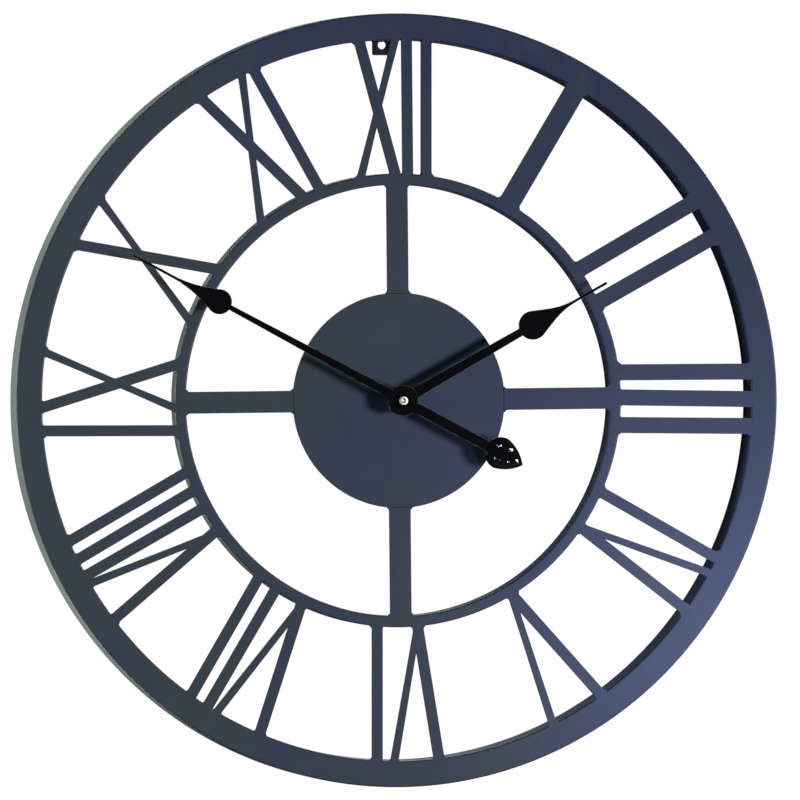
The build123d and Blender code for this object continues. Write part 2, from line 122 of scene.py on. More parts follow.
def split(start, place):
    """The three parts of a place, each as a wire."""
    across = start.node("ShaderNodeSeparateXYZ", sockets={"Vector": place})
    return across, across.other("Y"), across.other("Z")


def bumped(start, height, strength, distance):
    sockets = {"Height": height, "Strength": strength, "Distance": distance}
    return start.node("ShaderNodeBump", sockets=sockets)


def slate_coat(start, place):
    """Satin powder coat: a fine orange peel, a random cloudy tone, and painted light: a drift from
    slate on the left to violet navy on the right, where bluish light would fall, and painted shade,
    deepest towards one o'clock.
    """
    across, _, height = split(start, place)
    # Painted light: the term in across tints the coat violet navy towards the right.
    cloud = noise(start, place, 7.0, 4.0) + 0.55 * across
    # Painted shade: the coat darkens to a deeper navy towards one o'clock.
    painted_shade_towards_one = 0.5 * across + height
    patch = noise(start, place, 38.0, 3.0)
    peel = noise(start, place, 520.0, 2.0)
    grain = noise(start, place, 1900.0, 1.0)
    slate = (0.033, 0.047, 0.062, 1.0)
    navy = (0.029, 0.041, 0.085, 1.0)
    painted_shade_navy = (0.013, 0.022, 0.066, 1.0)
    pale = (0.044, 0.056, 0.078, 1.0)
    coat = cloud.step(0.36, 0.66).mix(slate, navy)
    coat = (painted_shade_towards_one.step(0.10, 0.36) * 0.8).mix(coat, painted_shade_navy)
    colour = (patch.step(0.45, 0.85) * 0.35).mix(coat, pale)
    return {
        "Base Color": colour,
        "Roughness": 0.37 + 0.10 * patch + 0.06 * grain,
        "Specular IOR Level": 0.35,
        "Specular Tint": (0.62, 0.74, 1.0, 1.0),
        "Normal": bumped(start, 0.7 * peel + 0.3 * grain, 0.16, 0.0003),
    }


powder_coat = finish("powder_coat", slate_coat)


def settled(piece, steps):
    """Adds these modifiers to a piece and keeps what they all make as its plain mesh."""
    for kind, settings in steps:
        modifier = piece.modifiers.new(kind, kind)
        for label, value in settings.items():
            setattr(modifier, label, value)
    result = piece.evaluated_get(bpy.context.evaluated_depsgraph_get())
    piece.data = bpy.data.meshes.new_from_object(result)
    piece.modifiers.clear()


def handed(piece, body, slot, *nodes):
    """Gives a piece its body and hides the solids that it stands for; slot is not used."""
    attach(piece, body)
    if nodes:
        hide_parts(*nodes)


def grown(name, build, sizes, material, body, slot, *nodes, base=None, finishing=()):
    """Runs a geometry tree with these named sizes and hands over the result as a plain mesh."""
    tree = bpy.data.node_groups.new(name, "GeometryNodeTree")
    geometry = "NodeSocketGeometry"
    tree.interface.new_socket("Geometry", in_out="OUTPUT", socket_type=geometry)
    tree.interface.new_socket("Geometry", in_out="INPUT", socket_type=geometry)
    for label, value in sizes.items():
        kind = "NodeSocketInt" if isinstance(value, int) else "NodeSocketFloat"
        tree.interface.new_socket(label, in_out="INPUT", socket_type=kind)
    start = Wire(tree)
    entry = start.node("NodeGroupInput")
    shape = build(start, entry, {label: entry.other(label) for label in sizes})
    shape = start.node("GeometryNodeRealizeInstances", sockets={"Geometry": shape})
    dressed = {"Geometry": shape, "Material": material}
    shape = start.node("GeometryNodeSetMaterial", sockets=dressed)
    start.node("NodeGroupOutput", sockets={"Geometry": shape})
    piece = bpy.data.objects.new(name, base or bpy.data.meshes.new(name))
    bpy.context.scene.collection.objects.link(piece)
    modifier = piece.modifiers.new(name, "NODES")
    modifier.node_group = tree
    for item in tree.interface.items_tree:
        if item.in_out == "INPUT" and item.name in sizes:
            modifier[item.identifier] = sizes[item.name]
    settled(piece, finishing)
    handed(piece, body, slot, *nodes)


def moved(start, shape, turn=(0.0, 0.0, 0.0), **place):
    """A shape of a geometry tree, turned and then moved."""
    place = start.node("ShaderNodeCombineXYZ", sockets=place)
    sockets = {"Geometry": shape, "Translation": place, "Rotation": turn}
    return start.node("GeometryNodeTransform", sockets=sockets)


hair = 1e-5
hoop_segments = 240
fold_segments = 6
lip_ease = 0.0003
lip_angle = radians(60)
crease = radians(40)
upright = (pi / 2, 0.0, 0.0)
even_shade = ("WEIGHTED_NORMAL", {"weight": 50, "keep_sharp": True})


def hoop_sizes(node):
    """The sizes of a rolled channel, read from the solid that it stands for."""
    spots = [(hypot(v.co.x, v.co.z), v.co.y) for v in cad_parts[node].data.vertices]
    outer = max(radius for radius, depth in spots)
    inner = min(radius for radius, depth in spots)
    front = min(depth for radius, depth in spots)
    back = max(depth for radius, depth in spots)
    flat = min(radius for radius, depth in spots if depth < front + hair)
    lip = min(radius for radius, depth in spots if depth > back - hair and radius > inner + hair)
    return {
        "Outer": outer, "Inner": inner, "Front": front, "Back": back,
        "Bend": flat - inner, "Sheet": lip - inner,
        "Segments": hoop_segments, "Fold": fold_segments,
    }


def rolled_channel(start, entry, size):
    """The middle of the folded sheet, swept round a circle that stands in the plane of the dial."""
    half = size["Sheet"] / 2
    inwards = size["Inner"] + size["Sheet"] - size["Outer"]
    depth = size["Back"] - size["Front"]

    def corner(across, along):
        return start.node("ShaderNodeCombineXYZ", sockets={"X": across, "Y": along})

    corners = {
        "Point 1": corner(0.0, depth), "Point 2": corner(0.0, half),
        "Point 3": corner(inwards, half), "Point 4": corner(inwards, depth),
    }
    section = start.node("GeometryNodeCurvePrimitiveQuadrilateral", {"mode": "POINTS"}, corners)
    opened = {"Geometry": section, "Cyclic": False}
    section = start.node("GeometryNodeSetSplineCyclic", sockets=opened)
    fold = {"Curve": section, "Count": size["Fold"], "Radius": size["Bend"] - half}
    section = start.node("GeometryNodeFilletCurve", {"mode": "POLY"}, fold)
    circle = {"Resolution": size["Segments"], "Radius": size["Outer"] - half}
    path = start.node("GeometryNodeCurvePrimitiveCircle", sockets=circle)
    sweep = {"Curve": path, "Profile Curve": section}
    swept = start.node("GeometryNodeCurveToMesh", sockets=sweep)
    return moved(start, swept, upright, Y=size["Front"])


def hoop(node):
    """A channel hoop in place of its solid: folded sheet, given its thickness and eased lips."""
    sizes = hoop_sizes(node)
    sheet = {"thickness": sizes["Sheet"], "offset": 0.0, "use_even_offset": True}
    lips = {
        "width": lip_ease, "segments": 2, "limit_method": "ANGLE", "angle_limit": lip_angle,
    }
    steps = (("SOLIDIFY", sheet), ("BEVEL", lips), even_shade)
    grown(
        f"{node}_hoop", rolled_channel, sizes, powder_coat, "clock_frame", "powder_coat", node,
        finishing=steps,
    )
    return sizes


rim = hoop("rim")

# Inner ring: a narrower and shallower channel of the same sheet, flush with the rim at the front.
# The numerals are welded to its outside and the four spokes to its inside.
ring = hoop("inner_ring")

# Numerals: flat steel bars, one to five for each hour, butt-welded between the inner ring and the
# rim. Where two bars cross, the wide one runs through and the narrow one is cut to meet it. The
# welds are ground flush at the front, which leaves a small flare at each corner.
front = rim["Front"]
plate_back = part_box("dial_plate")[1].y
bar_ease = 0.0004
flare_sizes = (0.0015, 0.0028)
flare_share = 0.04
flare_pull = 0.4
flare_steps = 4
seam_steps = 4
back_share = 0.6
bench = Random(12)
weld_runs = []


def shown(name, shape, material, body, slot, *nodes):
    """Makes a piece of a finished shape, shades it, and hands it to its body and solids."""
    mesh = bpy.data.meshes.new(name)
    shape.to_mesh(mesh)
    shape.free()
    mesh.materials.append(material)
    mesh.polygons.foreach_set("use_smooth", [True] * len(mesh.polygons))
    mesh.set_sharp_from_angle(angle=crease)
    piece = bpy.data.objects.new(name, mesh)
    bpy.context.scene.collection.objects.link(piece)
    settled(piece, [even_shade])
    handed(piece, body, slot, *nodes)


def merged(node):
    """A copy of a solid's mesh with its loose triangles joined."""
    shape = bmesh.new()
    shape.from_mesh(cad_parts[node].data)
    bmesh.ops.remove_doubles(shape, verts=shape.verts, dist=hair / 10)
    return shape


def bar_outlines(node):
    """The outline of each bar of a node on the clock's front, anticlockwise from the front."""
    shape = merged(node)
    outlines = []
    met = set()
    for first in shape.verts:
        if first in met:
            continue
        met.add(first)
        island = [first]
        for spot in island:
            fresh = [edge.other_vert(spot) for edge in spot.link_edges]
            fresh = [near for near in fresh if near not in met]
            met.update(fresh)
            island += fresh
        face = [Vector((v.co.x, v.co.z)) for v in island if v.co.y < front + hair]
        middle = sum(face, Vector((0.0, 0.0))) / len(face)
        outlines.append(sorted(face, key=lambda spot: atan2(spot.y - middle.y, spot.x - middle.x)))
    shape.free()
    return outlines


def flare(corner, along, away, carry, ends):
    """The weld at one corner, from the bar's side round to the flat that the bar meets.

    It is small where the next bar leaves no room for the torch.
    """
    beside = [end - corner for end in ends if (end - corner).dot(away) > hair]
    room = min([gap.length for gap in beside], default=1.0)
    size = min(bench.uniform(*flare_sizes), room * flare_share)
    start = corner + along * size
    end = (corner + away * size).normalized() * corner.length
    pull = corner.lerp((start + end) / 2, flare_pull)
    steps = [step / flare_steps for step in range(flare_steps + 1)]
    curve = [start * (1 - t) ** 2 + pull * 2 * t * (1 - t) + end * t ** 2 for t in steps]
    return curve + [end.normalized() * (corner.length + carry)]


def welded(outline, seats, ends):
    """A bar's outline with flared welds, the places of its edges that lie on a weld seam, and the
    circle behind each point that is carried on into a weld.

    seats gives, for each circle that the bar is welded to, how far it is carried on past it.
    """
    def sits_on(spot, radius):
        return abs(spot.length - radius) < 10 * hair

    def seat_of(spot):
        return next((radius for radius in seats if sits_on(spot, radius)), None)

    held = [seat_of(spot) for spot in outline]
    corners = []
    for index, spot in enumerate(outline):
        beside = (held[index - 1], held[(index + 1) % len(outline)])
        if held[index] is None or beside != (held[index], held[index]):
            corners.append((spot, held[index]))
    points = []
    seams = set()
    sunk = {}
    for index, (spot, seat) in enumerate(corners):
        before, seat_before = corners[index - 1]
        after, seat_after = corners[(index + 1) % len(corners)]
        if seat is None or seat not in (seat_before, seat_after):
            points.append(spot)
            continue
        arriving = seat_after == seat
        side, far = (before, after) if arriving else (after, before)
        away = spot.orthogonal().normalized()
        if away.dot(far - spot) > 0:
            away.negate()
        level = [end for end in ends if sits_on(end, seat) and end not in (spot, far)]
        curve = flare(spot, (side - spot).normalized(), away, seats[seat], level)
        if not arriving:
            sunk[len(points)] = seat
            points += curve[::-1]
            continue
        points += curve
        weld_runs.append((spot, after, plate_back))
        swing = curve[-1].angle_signed(after)
        for step in range(seam_steps):
            seams.add(len(points) - 1)
            if step:
                points.append(Matrix.Rotation(-swing * step / seam_steps, 2) @ curve[-1])
            sunk[len(points) - 1] = seat
    return points, seams, sunk


def plate_bars(node, seats):
    """The bars of a node as eased plate, one plate thick, with their welded ends."""
    shape = bmesh.new()
    open_edges = []
    outlines = bar_outlines(node)
    ends = [spot for outline in outlines for spot in outline]
    for outline in outlines:
        points, seams, sunk = welded(outline, seats, ends)
        near = [shape.verts.new((spot.x, front, spot.y)) for spot in points]
        for index, seat in sunk.items():
            points[index] = points[index].normalized() * (seat + seats[seat] * back_share)
        far = [shape.verts.new((spot.x, plate_back, spot.y)) for spot in points]
        shape.faces.new(near)
        shape.faces.new(far[::-1])
        for index, spot in enumerate(near):
            following = (index + 1) % len(near)
            shape.faces.new((near[following], spot, far[index], far[following]))
            if index not in seams:
                open_edges.append(shape.edges.get((spot, near[following])))
                open_edges.append(shape.edges.get((far[index], far[following])))
    bmesh.ops.bevel(
        shape, geom=open_edges, offset=bar_ease, segments=2, profile=0.5, affect="EDGES"
    )
    bmesh.ops.recalc_face_normals(shape, faces=shape.faces)
    return shape


numeral_seats = {rim["Inner"]: rim["Bend"], ring["Outer"]: -ring["Bend"]}
numeral_nodes = [f"numeral_{hour}" for hour in range(1, 13)]
for node in numeral_nodes:
    bars = plate_bars(node, numeral_seats)
    shown(f"{node}_bars", bars, powder_coat, "clock_frame", "powder_coat", node)

# Dial plate and spokes: a laser-cut steel disc in the middle, held by four flat bars that are
# welded between its edge and the inside of the inner ring.
dial_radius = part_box("dial_plate")[1].x
spoke_seats = {ring["Inner"]: ring["Bend"], dial_radius: -2 * bar_ease}
spoke_nodes = ["spoke_top", "spoke_right", "spoke_bottom", "spoke_left"]
flat_within = radians(0.2)


def eased(name, node, ease, material, body, slot):
    """Shows a solid with its sharp edges rounded over, as a cut and finished piece has them."""
    shape = merged(node)
    bmesh.ops.dissolve_limit(
        shape, angle_limit=flat_within, verts=shape.verts, edges=shape.edges, delimit={"NORMAL"}
    )
    sharp = [edge for edge in shape.edges if edge.is_manifold and edge.calc_face_angle() > crease]
    bmesh.ops.bevel(
        shape, geom=sharp, offset=ease, segments=2, profile=0.5, affect="EDGES",
        clamp_overlap=True,
    )
    shown(name, shape, material, body, slot, node)


eased("dial_disc", "dial_plate", bar_ease, powder_coat, "clock_frame", "powder_coat")
for node in spoke_nodes:
    bars = plate_bars(node, spoke_seats)
    shown(f"{node}_bar", bars, powder_coat, "clock_frame", "powder_coat", node)

# Hanger tab: a small steel lug with a round hole, welded to the inside of the rim at the back and
# coated with the frame. The clock hangs by it from a screw in the wall.
eased("hanger_lug", "hanger_tab", bar_ease, powder_coat, "clock_frame", "powder_coat")

# Weld beads: where each bar meets a hoop or the dial plate, a short run of overlapping weld
# puddles is left as laid on the back and painted over.
bead_size = 0.0012
bead_spacing = 0.0010
bead_least = (0.7, 0.55, 0.7)
bead_most = (1.15, 0.9, 1.15)
bead_seed = 5
run_steps = 8
lug_low, lug_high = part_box("hanger_tab")
lug_left = Vector((lug_low.x, sqrt(rim["Inner"] ** 2 - lug_low.x ** 2)))
lug_right = Vector((lug_high.x, sqrt(rim["Inner"] ** 2 - lug_high.x ** 2)))
weld_runs.append((lug_right, lug_left, lug_low.y))


def weld_lines():
    """The lines that the welder followed, as a mesh of edges along the back of each joint."""
    shape = bmesh.new()
    for start, end, depth in weld_runs:
        swing = start.angle_signed(end)
        spots = []
        for step in range(run_steps + 1):
            spot = Matrix.Rotation(-swing * step / run_steps, 2) @ start
            spots.append(shape.verts.new((spot.x, depth, spot.y)))
        for here, there in zip(spots, spots[1:]):
            shape.edges.new((here, there))
    mesh = bpy.data.meshes.new("weld_lines")
    shape.to_mesh(mesh)
    shape.free()
    return mesh


def puddles(start, entry, size):
    """Flattened puddles of uneven size, close enough together to overlap."""
    lines = start.node("GeometryNodeMeshToCurve", sockets={"Mesh": entry})
    spread = {"Curve": lines, "Length": size["Spacing"]}
    spots = start.node("GeometryNodeCurveToPoints", {"mode": "LENGTH"}, spread)
    puddle = {"Segments": 8, "Rings": 6, "Radius": size["Bead"]}
    puddle = start.node("GeometryNodeMeshUVSphere", sockets=puddle)
    puddle = start.node("GeometryNodeSetShadeSmooth", sockets={"Geometry": puddle})
    uneven = {0: bead_least, 1: bead_most, "Seed": size["Seed"]}
    scale = start.node("FunctionNodeRandomValue", {"data_type": "FLOAT_VECTOR"}, uneven)
    laid = {"Points": spots, "Instance": puddle, "Scale": scale}
    return start.node("GeometryNodeInstanceOnPoints", sockets=laid)


bead_sizes = {"Bead": bead_size, "Spacing": bead_spacing, "Seed": bead_seed}
grown(
    "weld_beads", puddles, bead_sizes, powder_coat, "clock_frame", "powder_coat",
    base=weld_lines(),
)

# Movement case: a shallow black box moulded in styrene, with a bay for the cell along the bottom
# and spark-eroded outer faces. It is clamped to the dial plate by the bush through its middle.


def moulded_black(start, place):
    """Black styrene with the fine matt grain of an eroded mould and a few flow marks."""
    flow = noise(start, place, 60.0, 3.0)
    grain = noise(start, place, 2600.0, 2.0, 0.6)
    dust = noise(start, place, 340.0, 4.0).step(0.58, 0.80)
    black = flow.mix((0.0105, 0.0105, 0.0115, 1.0), (0.0165, 0.0165, 0.0170, 1.0))
    return {
        "Base Color": (0.22 * dust).mix(black, (0.085, 0.083, 0.078, 1.0)),
        "Roughness": 0.42 + 0.14 * grain + 0.10 * flow,
        "Specular IOR Level": 0.5,
        "Normal": bumped(start, grain, 0.55, 0.0002),
    }


case_plastic = finish("case_plastic", moulded_black)
mould_ease = 0.0003
eased("case_shell", "movement_case", mould_ease, case_plastic, "clock_frame", "case_plastic")

# Movement cover: a flat moulding snapped over the wheels. It has a raised border, a collar round
# the setting knob with a turning arrow each side, the signs of the cell's two ends, and finger ribs
# where it is pulled off.
eased("cover_lid", "movement_cover", mould_ease, case_plastic, "clock_frame", "case_plastic")
cover_low, cover_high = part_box("movement_cover")
lid_back = cover_high.y
knob_low, knob_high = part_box("setting_knob")
knob_middle = (knob_low + knob_high) / 2
raised = 0.0004
border_inset = 0.0022
border_width = 0.0009
collar_radius = 0.0079
collar_width = 0.0008
arrow_radius = 0.0104
arrow_width = 0.0011
arrow_span = radians(55)
arrow_head = 2.2 * arrow_width / arrow_radius
arrow_steps = 14
ring_steps = 48
sign_inset = 0.0065
sign_reach = 0.0017
sign_half = 0.0003
relief_ease = 0.00012


def banded(shape, low, high):
    """Joins two closed rows of points by a band of faces."""
    for index in range(len(low)):
        after = (index + 1) % len(low)
        shape.faces.new((low[index], low[after], high[after], high[index]))


def raised_plan(shape, *loops):
    """Adds a moulded relief whose plan is one outline, or an outer and an inner one."""
    sides = []
    for height in (lid_back - raised, lid_back + raised):
        sides.append([[shape.verts.new((x, height, z)) for x, z in loop] for loop in loops])
    for low, high in zip(*sides):
        banded(shape, low, high)
    for side in sides:
        if len(loops) == 1:
            shape.faces.new(side[0])
        else:
            banded(shape, *side)


def box_loop(left, right, low, high):
    """A rectangle."""
    return [(left, low), (right, low), (right, high), (left, high)]


def frame_loop(inset):
    """A rectangle that follows the cover's edge at this distance inside it."""
    left, right = cover_low.x + inset, cover_high.x - inset
    return box_loop(left, right, cover_low.z + inset, cover_high.z - inset)


def round_knob(radius, turn):
    """A point at this distance from the knob's middle."""
    return (knob_middle.x + radius * cos(turn), knob_middle.z + radius * sin(turn))


def ring_loop(radius):
    """A circle round the knob."""
    return [round_knob(radius, 2 * pi * step / ring_steps) for step in range(ring_steps)]


def arrow_loop(middle):
    """A curved arrow beside the knob, with its head at the clockwise end."""
    half = arrow_width / 2
    turns = [middle + arrow_span * (step / arrow_steps - 0.5) for step in range(arrow_steps + 1)]
    outer = [round_knob(arrow_radius + half, turn) for turn in turns]
    inner = [round_knob(arrow_radius - half, turn) for turn in turns[::-1]]
    end = turns[-1]
    tip = round_knob(arrow_radius, end + arrow_head)
    barbs = [round_knob(arrow_radius + side * arrow_width, end) for side in (1, -1)]
    return outer + [barbs[0], tip, barbs[1]] + inner


def cross_loop(x, z):
    """An upright cross, the sign of the cell's positive end."""
    quarter = [(sign_reach, -sign_half), (sign_reach, sign_half), (sign_half, sign_half)]
    loop = []
    for turn in range(4):
        for u, v in quarter:
            for _ in range(turn):
                u, v = -v, u
            loop.append((x + u, z + v))
    return loop


def bar_loop(x, z):
    """A level bar, the sign of the cell's negative end."""
    return box_loop(x - sign_reach, x + sign_reach, z - sign_half, z + sign_half)


relief = bmesh.new()
raised_plan(relief, frame_loop(border_inset), frame_loop(border_inset + border_width))
raised_plan(relief, *[ring_loop(collar_radius + side * collar_width / 2) for side in (1, -1)])
for middle in (0.0, pi):
    raised_plan(relief, arrow_loop(middle))
sign_height = cover_low.z + sign_inset
raised_plan(relief, cross_loop(cover_high.x - sign_inset, sign_height))
raised_plan(relief, bar_loop(cover_low.x + sign_inset, sign_height))
bmesh.ops.recalc_face_normals(relief, faces=relief.faces)
top_edges = [
    edge for edge in relief.edges
    if all(vert.co.y > lid_back for vert in edge.verts) and edge.calc_face_angle() > crease
]
bmesh.ops.bevel(
    relief, geom=top_edges, offset=relief_ease, segments=2, profile=0.5, affect="EDGES"
)
shown("cover_relief", relief, case_plastic, "clock_frame", "case_plastic")

rib_count = 9
rib_pitch = 0.0016
rib_radius = 0.00045
rib_length = 0.0050
rib_drop = 0.0045
rib_sides = 10


def rounded_rib(start, size):
    """A bar with round ends, along Z."""
    rib = {"Vertices": rib_sides, "Radius": size["Radius"], "Depth": size["Length"]}
    parts = [start.node("GeometryNodeMeshCylinder", sockets=rib)]
    end = {"Segments": rib_sides, "Rings": 6, "Radius": size["Radius"]}
    end = start.node("GeometryNodeMeshUVSphere", sockets=end)
    parts += [moved(start, end, Z=size["Length"] * side) for side in (-0.5, 0.5)]
    joined = start.node("GeometryNodeJoinGeometry", sockets={"Geometry": parts})
    return start.node("GeometryNodeSetShadeSmooth", sockets={"Geometry": joined})


def ribs_on(start, spots, size):
    """A rounded rib at each of these points."""
    laid = {"Points": spots, "Instance": rounded_rib(start, size)}
    return start.node("GeometryNodeInstanceOnPoints", sockets=laid)


def finger_ribs(start, entry, size):
    """A row of rounded ribs."""
    pitch = start.node("ShaderNodeCombineXYZ", sockets={"X": size["Pitch"]})
    row = {"Count": size["Count"], "Offset": pitch}
    laid = ribs_on(start, start.node("GeometryNodeMeshLine", sockets=row), size)
    return moved(start, laid, X=size["Left"], Y=size["Back"], Z=size["Height"])


rib_sizes = {
    "Count": rib_count, "Pitch": rib_pitch, "Radius": rib_radius, "Length": rib_length,
    "Left": cover_low.x / 2 - rib_pitch * (rib_count - 1) / 2, "Back": lid_back,
    "Height": cover_high.z - border_inset - border_width - rib_drop,
}
grown("cover_ribs", finger_ribs, rib_sizes, case_plastic, "clock_frame", "case_plastic")

# Battery: one AA cell, a drawn steel can in a printed foil sleeve, with a pressed button at its
# positive end. It lies loose in the bay between two contacts.
wrap_margin = 0.0010
can_edge = 0.0007
groove = 0.00025
button_radius = 0.00275
button_height = 0.0012
foot_dish = (0.62, 0.68)
top_dish = (0.70, 0.66)
print_edge = 0.0001
band_ends = (0.0120, 0.0190)
line_ends = (0.0102, 0.0108)
cell_low, cell_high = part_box("battery")
cell_middle = (cell_low + cell_high) / 2
cell_radius = (cell_high.z - cell_low.z) / 2
lathe_steps = 64


def turned(profile, middle, axis, closed=False):
    """A shape turned on a lathe: profile gives its (place along the axis, radius) pairs."""
    shape = bmesh.new()
    rings = []
    for along, radius in profile:
        ring = []
        for step in range(lathe_steps if radius > hair else 1):
            turn = 2 * pi * step / lathe_steps
            across, up = radius * cos(turn), radius * sin(turn)
            spot = (along, middle.y + across, middle.z + up)
            if axis == "Y":
                spot = (middle.x + across, along, middle.z + up)
            ring.append(shape.verts.new(spot))
        rings.append(ring)
    following = rings[1:] + rings[:1] if closed else rings[1:]
    for low, high in zip(rings, following):
        for index in range(lathe_steps):
            after = (index + 1) % lathe_steps
            corners = [low[index % len(low)], low[after % len(low)]]
            corners += [high[after % len(high)], high[index % len(high)]]
            shape.faces.new(list(dict.fromkeys(corners)))
    bmesh.ops.recalc_face_normals(shape, faces=shape.faces)
    return shape


def off_axis(start, first, second):
    """How far a place lies from an axis, from its two offsets."""
    offset = start.node("ShaderNodeCombineXYZ", sockets={"X": first, "Y": second})
    settings = {"operation": "LENGTH"}
    return start.node("ShaderNodeVectorMath", settings, {0: offset}, output="Value")


def foil_sleeve(start, place):
    """A graphite sleeve with a pale band and a fine line beside it, bare steel at both ends."""
    centred = {"Vector": place, "Location": tuple(-cell_middle)}
    along, aside, height = split(start, start.node("ShaderNodeMapping", sockets=centred))
    wrinkle = noise(start, place, 260.0, 3.0)
    scuff = noise(start, place, 900.0, 3.0).step(0.62, 0.78)
    half_wrap = (cell_high.x - cell_low.x - button_height) / 2 - wrap_margin
    wrapped = half_wrap - start.maths("ABSOLUTE", along + button_height / 2)
    side = off_axis(start, aside, height).step(cell_radius - can_edge, cell_radius - can_edge / 2)
    bare = 1 - wrapped.step(-print_edge, print_edge) * side

    def printed(ends, edge):
        first, last = ends
        return along.step(first, first + edge) - along.step(last, last + edge)

    foil = printed(band_ends, 2 * print_edge).mix(
        (0.050, 0.056, 0.070, 1.0), (0.46, 0.47, 0.48, 1.0)
    )
    foil = printed(line_ends, print_edge).mix(foil, (0.42, 0.43, 0.44, 1.0))
    return {
        "Base Color": bare.mix(foil, (0.56, 0.56, 0.55, 1.0)),
        "Metallic": 0.55 + 0.45 * bare,
        "Roughness": 0.30 + 0.10 * wrinkle + 0.18 * scuff,
        "Normal": bumped(start, wrinkle, 0.10, 0.0003),
    }


battery_wrap = finish("battery_wrap", foil_sleeve)
shoulder = cell_high.x - button_height
foot, tip = cell_low.x, cell_high.x
cell_profile = [
    (foot + can_edge, 0.0), (foot + can_edge, cell_radius * foot_dish[0]),
    (foot, cell_radius * foot_dish[1]), (foot, cell_radius - can_edge),
    (foot + can_edge / 4, cell_radius - can_edge / 4),
    (foot + can_edge, cell_radius), (shoulder - 5 * can_edge, cell_radius),
    (shoulder - 4.5 * can_edge, cell_radius - groove),
    (shoulder - 3.5 * can_edge, cell_radius - groove),
    (shoulder - 3 * can_edge, cell_radius), (shoulder - can_edge, cell_radius),
    (shoulder - can_edge / 4, cell_radius - can_edge / 4), (shoulder, cell_radius - can_edge),
    (shoulder, cell_radius * top_dish[0]), (shoulder - can_edge, cell_radius * top_dish[1]),
    (shoulder - can_edge, button_radius + can_edge / 2), (shoulder - can_edge / 2, button_radius),
    (tip - can_edge / 2, button_radius), (tip, button_radius - can_edge / 2), (tip, 0.0),
]
cell = turned(cell_profile, cell_middle, "X")
shown("aa_cell", cell, battery_wrap, "clock_frame", "battery_wrap", "battery")

# Setting knob: a black moulding pressed on the end of the minute wheel's arbor, turned from behind
# to set the hands. It has ribs round its side for the fingers and a dished top.
knob_radius = (knob_high.x - knob_low.x) / 2
grip_count = 18
grip_radius = 0.0006
grip_margin = 0.0012
knob_side = knob_radius - grip_radius
knob_back = knob_high.y
dish_depth = 0.0005
dish_lip, dish_slope, dish_floor = 0.72, 0.66, 0.40
knob_profile = [
    (knob_low.y, 0.0), (knob_low.y, knob_side - mould_ease), (knob_low.y + mould_ease, knob_side),
    (knob_back - 3 * mould_ease, knob_side), (knob_back - mould_ease, knob_side - mould_ease),
    (knob_back, knob_side - 3 * mould_ease), (knob_back, knob_side * dish_lip),
    (knob_back - dish_depth / 2, knob_side * dish_slope),
    (knob_back - dish_depth, knob_side * dish_floor), (knob_back - dish_depth, 0.0),
]
knob = turned(knob_profile, knob_middle, "Y")
shown("knob_moulding", knob, case_plastic, "setting_wheel", "case_plastic", "setting_knob")


def knob_grips(start, entry, size):
    """The same rounded ribs, set round a circle."""
    circle = {"Vertices": size["Count"], "Radius": size["Circle"]}
    laid = ribs_on(start, start.node("GeometryNodeMeshCircle", sockets=circle), size)
    return moved(start, laid, upright, X=size["Right"], Y=size["Middle"], Z=size["Height"])


grip_sizes = {
    "Count": grip_count, "Circle": knob_side, "Radius": grip_radius,
    "Length": knob_high.y - knob_low.y - 2 * grip_margin,
    "Right": knob_middle.x, "Middle": knob_middle.y, "Height": knob_middle.z,
}
grown("knob_grips", knob_grips, grip_sizes, case_plastic, "setting_wheel", "case_plastic")

# Steel pieces: the two battery contacts are cut and bent from bright spring strip, the stator and
# the coil's core are stampings, and the quartz crystal sits in a drawn can.


def stretched_noise(start, place, scale, detail):
    """Noise drawn out into lines: scale gives its fineness along each axis."""
    drawn = start.node("ShaderNodeMapping", sockets={"Vector": place, "Scale": scale})
    return noise(start, drawn, 1.0, detail)


def bright_steel(start, place):
    """Bright rolled steel: fine lines along the strip and a faint bluish bloom."""
    lines = stretched_noise(start, place, (80.0, 900.0, 2400.0), 3.0)
    bloom = noise(start, place, 120.0, 3.0)
    return {
        "Base Color": bloom.mix((0.50, 0.50, 0.50, 1.0), (0.60, 0.61, 0.63, 1.0)),
        "Metallic": 1.0,
        "Roughness": 0.20 + 0.16 * lines + 0.08 * bloom,
        "Normal": bumped(start, lines, 0.08, 0.0001),
    }


steel = finish("steel", bright_steel)


def coat_nodes(material, *nodes):
    """Gives its finish to each solid that is shown as it is."""
    for node in nodes:
        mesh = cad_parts[node].data
        for place in range(len(mesh.materials)):
            mesh.materials[place] = material


coat_nodes(steel, "motor_stator", "coil_core", "quartz_crystal")
contact_ease = 0.00008
for node in ("battery_contact_positive", "battery_contact_negative"):
    eased(f"{node}_strip", node, contact_ease, steel, "clock_frame", "steel")

# Wheels and middle plate: white acetal mouldings inside the case, with the fine grain of the mould
# and the slight milkiness of the bare plastic.


def white_acetal(start, place):
    """White moulding: a little light goes in, and the mould's grain dulls the gloss."""
    cloud = noise(start, place, 180.0, 3.0)
    grain = noise(start, place, 2200.0, 2.0)
    return {
        "Base Color": cloud.mix((0.74, 0.74, 0.69, 1.0), (0.84, 0.84, 0.80, 1.0)),
        "Roughness": 0.38 + 0.12 * grain,
        "Subsurface Weight": 0.15,
        "Subsurface Radius": (0.0008, 0.0007, 0.0006),
        "Normal": bumped(start, grain, 0.10, 0.0001),
    }


wheel_plastic = finish("wheel_plastic", white_acetal)
coat_nodes(
    wheel_plastic, "middle_plate", "minute_wheel", "hour_wheel", "intermediate_wheel",
    "seconds_wheel", "third_wheel", "centre_wheel",
)

# Motor and circuit: the coil is wound with enamelled copper wire, the rotor is a bare ferrite
# magnet, and a resin blob of a chip and the crystal sit on a small green laminate board.
wire_pitch = 0.00025
weave_pitch = 0.0006


def waves(start, along, pitch):
    """Even ripples along a direction, from -1 to 1."""
    return start.maths("SINE", along * (2 * pi / pitch))


